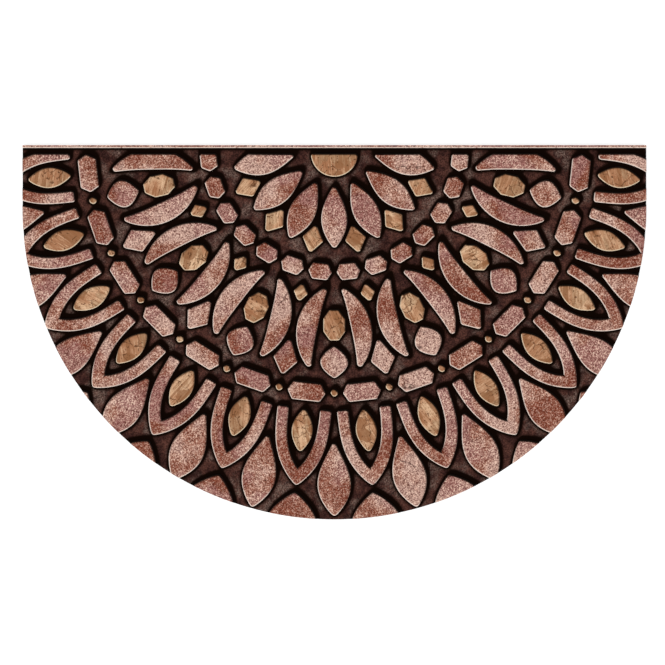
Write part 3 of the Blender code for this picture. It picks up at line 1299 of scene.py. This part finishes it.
@dataclass
class ReliefPads:
    """All the pads of one finish, as closed shells seated in the groove floor."""

    size: MatSize
    finish: Finish
    rounding: float = 0.0009
    rounding_segments: int = 4
    paint_width: float = 0.0018
    paint_at_top: float = 0.55
    tip_share: float = 0.8
    sharp_tip_deg: float = 165.0
    corner_radius: float = 0.0038
    corner_share: float = 0.9
    corner_step_deg: float = 16.0
    seat: float = 0.0002
    edge_gap: float = 0.00002
    sharp_deg: float = 35.0

    def tip_halves(self, outline: list[Vector]) -> list[tuple[float, Vector]]:
        """Find the corners that stand out from a foot.

        Args:
            outline: The foot, counter-clockwise.

        Returns:
            Half the angle at each, and the corner, from the sharpest on.
        """
        found = []
        for before, tip, after in corners(outline):
            angle = (before - tip).angle(after - tip)
            if angle < math.radians(self.sharp_tip_deg) and (tip - before).cross(after - tip) > 0:
                found.append((angle / 2, tip))
        return sorted(found, key=lambda pair: pair[0])

    def clear_tips(self, outline: list[Vector]) -> list[Vector]:
        """Leave out the points next to a tip that the inset sides would pass.

        Args:
            outline: A pad's foot, counter-clockwise.

        Returns:
            The same foot with plain tips.
        """
        reach = max(self.corner_radius, self.size.draft + self.rounding + self.paint_width)
        tips = []
        for half, tip in self.tip_halves(outline):
            if all((tip - sharper).length > room for room, sharper in tips):
                tips.append((reach / math.tan(half), tip))
        return [
            point
            for point in outline
            if all(point is tip or (point - tip).length > room for room, tip in tips)
        ]

    def rounded_in_plan(self, outline: list[Vector]) -> list[Vector]:
        """Round the corners as the mould's cutter leaves them.

        Args:
            outline: A pad's foot with plain tips, counter-clockwise.

        Returns:
            The foot with an arc at each tip.
        """
        halves = {id(tip): half for half, tip in self.tip_halves(outline)}
        kept = []
        for before, point, after in corners(outline):
            half = halves.get(id(point))
            if half is None:
                kept.append(point)
                continue
            room = self.corner_share * min((before - point).length, (after - point).length)
            radius = min(self.corner_radius, room * math.tan(half))
            back, onward = (before - point).normalized(), (after - point).normalized()
            centre = point + (back + onward).normalized() * (radius / math.sin(half))
            spoke = point + back * (radius / math.tan(half)) - centre
            turn = math.pi - 2 * half
            steps = math.ceil(turn / math.radians(self.corner_step_deg))
            turns = (Matrix.Rotation(turn * step / steps, 2) for step in range(steps + 1))
            kept.extend(centre + rotation @ spoke for rotation in turns)
        return kept

    def raised(self, outline: list[Vector]) -> bmesh.types.BMesh:
        """Raise one pad with leaning walls and rounded upper edges.

        Args:
            outline: Its foot, counter-clockwise.

        Returns:
            A bmesh that holds a closed shell.
        """
        mesh = bmesh.new()
        floor = self.size.groove_floor_z
        mesh.faces.new([mesh.verts.new((point.x, point.y, floor - self.seat)) for point in outline])
        grown = bmesh.ops.extrude_face_region(mesh, geom=mesh.faces[:])["geom"]
        top = next(item for item in grown if isinstance(item, bmesh.types.BMFace))
        bmesh.ops.translate(mesh, verts=list(top.verts), vec=(0.0, 0.0, self.seat))
        bmesh.ops.recalc_face_normals(mesh, faces=mesh.faces[:])
        inset(mesh, top, self.size.draft)
        bmesh.ops.translate(mesh, verts=list(top.verts), vec=(0.0, 0.0, self.size.relief))
        bmesh.ops.bevel(
            mesh,
            geom=list(top.edges),
            offset=self.rounding,
            offset_type="OFFSET",
            affect="EDGES",
            segments=self.rounding_segments,
            profile=0.5,
            material=-1,
            clamp_overlap=False,
        )
        return mesh

    def painted(self, mesh: bmesh.types.BMesh) -> None:
        """Note how deep in the painted edge every corner lies, and how its side faces the light.

        Args:
            mesh: A whole pad, which also gets a narrow ring round its upper face for the paint to fade on.
        """
        mesh.normal_update()
        level = [face for face in mesh.faces if face.normal.z > LEVEL]
        top = max(level, key=lambda face: face.calc_area())
        ring = inset(mesh, top, self.paint_width)
        inner = set(top.verts)
        self.ease_tips(top)
        edge_depth = mesh.loops.layers.float.new("edge_depth")
        edge_facing = mesh.loops.layers.float.new("edge_facing")
        for face in mesh.faces:
            if leans(face):
                facing = face.normal.xy.normalized().dot(LIT_FROM)
            elif face in ring:
                outer = next(edge for edge in face.edges if not inner.intersection(edge.verts))
                along = (outer.verts[1].co - outer.verts[0].co).xy.normalized()
                outward = Vector((along.y, -along.x))
                away = outer.verts[0].co.xy - face.calc_center_median().xy
                facing = outward.dot(LIT_FROM) * math.copysign(1.0, outward.dot(away))
            else:
                continue
            for loop in face.loops:
                below = (self.size.thickness - loop.vert.co.z) / self.rounding
                outside = self.paint_at_top + (1 - self.paint_at_top) * below
                loop[edge_depth] = 0.0 if loop.vert in inner else min(outside, 1.0)
                loop[edge_facing] = facing

    def ease_tips(self, top: bmesh.types.BMFace) -> None:
        """Draw the inner points of a ring back where they would cross, as at a leaf's tip.

        Args:
            top: The face inside the ring.
        """
        inner = set(top.verts)
        pairs = []
        for vert in top.verts:
            beside = [edge.other_vert(vert) for edge in vert.link_edges]
            pairs.append((vert, next(other for other in beside if other not in inner)))
        places = [outer.co.copy() for _, outer in pairs]
        for vert, outer in pairs:
            inward = (vert.co - outer.co).normalized()
            ahead = [place - outer.co for place in places if inward.dot(place - outer.co) > TOUCHING]
            radii = [towards.length_squared / (2 * inward.dot(towards)) for towards in ahead]
            room = min(self.tip_share * min(radii, default=0.0), 2 * self.paint_width)
            vert.co = outer.co + inward * min(room, (vert.co - outer.co).length)

    def cut_at_edge(self, mesh: bmesh.types.BMesh) -> None:
        """Cut a pad where it runs past the mat's edge, and close the cuts.

        Args:
            mesh: The whole pad.
        """
        planes = self.size.edge_planes()
        points = np.array([vert.co.xy[:] for vert in mesh.verts])
        places = np.array([place[:] for place, _ in planes])
        outwards = np.array([outward[:] for _, outward in planes])
        beyond = points @ outwards.T - (places * outwards).sum(1) + self.edge_gap
        for index in np.flatnonzero((beyond > TOUCHING).any(0)):
            place, outward = planes[index]
            open_edges = cut_off(mesh, place - outward * self.edge_gap, outward)
            bmesh.ops.holes_fill(mesh, edges=open_edges, sides=0)

    def dressed(self, mesh: bmesh.types.BMesh, pad: Pad) -> None:
        """Give every face its material and what the print needs to know of it.

        Args:
            mesh: The cut pad.
            pad: Its drawing.
        """
        mesh.normal_update()
        seed = mesh.faces.layers.float.new("pad_seed")
        grain = mesh.faces.layers.float.new("pad_grain")
        for face in mesh.faces:
            face[seed] = pad.seed
            face[grain] = pad.grain
            face.smooth = leans(face)
            face.material_index = 0 if face.normal.z > UPRIGHT else 1
        for edge in mesh.edges:
            edge.smooth = edge.calc_face_angle(math.pi) < math.radians(self.sharp_deg)

    def build(
        self, pads: list[Pad], dress: bpy.types.Material, edge: bpy.types.Material
    ) -> bpy.types.Object:
        """Model every pad of this finish.

        Args:
            pads: All the mat's pads.
            dress: The print.
            edge: The rubber where the mat's edge cuts a pad.

        Returns:
            The pads as one piece.
        """
        joined = bmesh.new()
        for pad in pads:
            if pad.finish is not self.finish:
                continue
            mesh = self.raised(self.rounded_in_plan(self.clear_tips(pad.outline)))
            self.painted(mesh)
            self.cut_at_edge(mesh)
            bmesh.ops.remove_doubles(mesh, verts=mesh.verts[:], dist=MERGED)
            bmesh.ops.recalc_face_normals(mesh, faces=mesh.faces[:])
            self.dressed(mesh, pad)
            single = bpy.data.meshes.new("pad")
            mesh.to_mesh(single)
            mesh.free()
            joined.from_mesh(single)
            bpy.data.meshes.remove(single)
        return object_from(f"{self.finish.value}_relief", joined, [dress, edge])


@dataclass
class Studio:
    """A pale floor, soft light and a camera straight above, as in the photograph."""

    size: MatSize
    picture_pixels: int = 665
    metres_per_pixel: float = 0.0012019
    aim: tuple[float, float] = (-0.0023, -0.0002)
    camera_height: float = 4.0
    sensor_mm: float = 36.0
    floor_half: float = 4.0
    floor_colour: Colour = (0.80, 0.80, 0.80, 1.0)
    floor_roughness: float = 0.9
    floor_specular: float = 0.1
    world_light: float = 0.86
    key_light: float = 0.22
    floor_glow: float = 0.50
    key_height_deg: float = 52.0
    key_softness_deg: float = 14.0

    def lay_floor(self) -> bpy.types.Object:
        """Lay the floor that the mat rests on.

        Returns:
            The floor.
        """
        mesh = bmesh.new()
        bmesh.ops.create_grid(mesh, x_segments=1, y_segments=1, size=self.floor_half)
        graph = Graph("pale_floor", self.floor_roughness, self.floor_specular)
        glow = {"Emission Color": WHITE, "Emission Strength": self.floor_glow}
        graph.feed(graph.shader, {"Base Color": self.floor_colour} | glow)
        floor = object_from("floor", mesh, [graph.material])
        floor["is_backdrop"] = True
        return floor

    def light(self) -> None:
        """Light the scene evenly, with a soft key from where the print's light falls."""
        world = bpy.data.worlds.new("studio")
        world.use_nodes = True
        background = world.node_tree.nodes["Background"].inputs
        background["Color"].default_value = WHITE
        background["Strength"].default_value = self.world_light
        bpy.context.scene.world = world
        height = math.radians(self.key_height_deg)
        key = bpy.data.lights.new("key", "SUN")
        key.energy = math.pi * self.key_light / math.sin(height)
        key.angle = math.radians(self.key_softness_deg)
        towards = (LIT_FROM * math.cos(height)).to_3d() + Vector((0.0, 0.0, math.sin(height)))
        added("key", key).rotation_euler = towards.to_track_quat("Z", "Y").to_euler()

    def set_camera(self) -> None:
        """Hang the camera straight above, so that the mat's upper face has the photograph's scale."""
        camera = bpy.data.cameras.new("above")
        field_width = self.picture_pixels * self.metres_per_pixel
        camera.sensor_width = self.sensor_mm
        camera.lens = self.sensor_mm * self.camera_height / field_width
        obj = added("above", camera)
        obj.location = (*self.aim, self.camera_height + self.size.thickness)
        bpy.context.scene.camera = obj

    def build(self) -> bpy.types.Object:
        """Set up the whole studio.

        Returns:
            Its floor.
        """
        bpy.context.scene.view_settings.view_transform = "Standard"
        self.light()
        self.set_camera()
        return self.lay_floor()


def main() -> None:
    """Build the studio and the pieces, and report each."""
    logging.basicConfig(level=logging.INFO, format="%(name)s: %(message)s")
    size = MatSize()
    floor = Studio(size).build()
    pads = Rosette(size).pads()
    log.info("drawn: %d pads", len(pads))
    body = RubberBody(size).build(GrooveShade(size, pads))
    edge = body.data.materials[1]
    stone = ReliefPads(size, Finish.STONE).build(pads, StonePrint().material(), edge)
    wood = ReliefPads(size, Finish.WOOD).build(pads, WoodPrint().material(), edge)
    for piece in (body, stone, wood):
        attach(piece, BODY)
        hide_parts(NODE)
        triangles = sum(len(face.vertices) - 2 for face in piece.data.polygons)
        log.info("built: %s, %d triangles", piece.name, triangles)
    size.flat_area
    boxes = {"cad": CAD_BOUNDS, "visual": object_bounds()}
    boxes = {name: [list(corner) for corner in box] for name, box in boxes.items()}


if __name__ == "__main__":
    main()
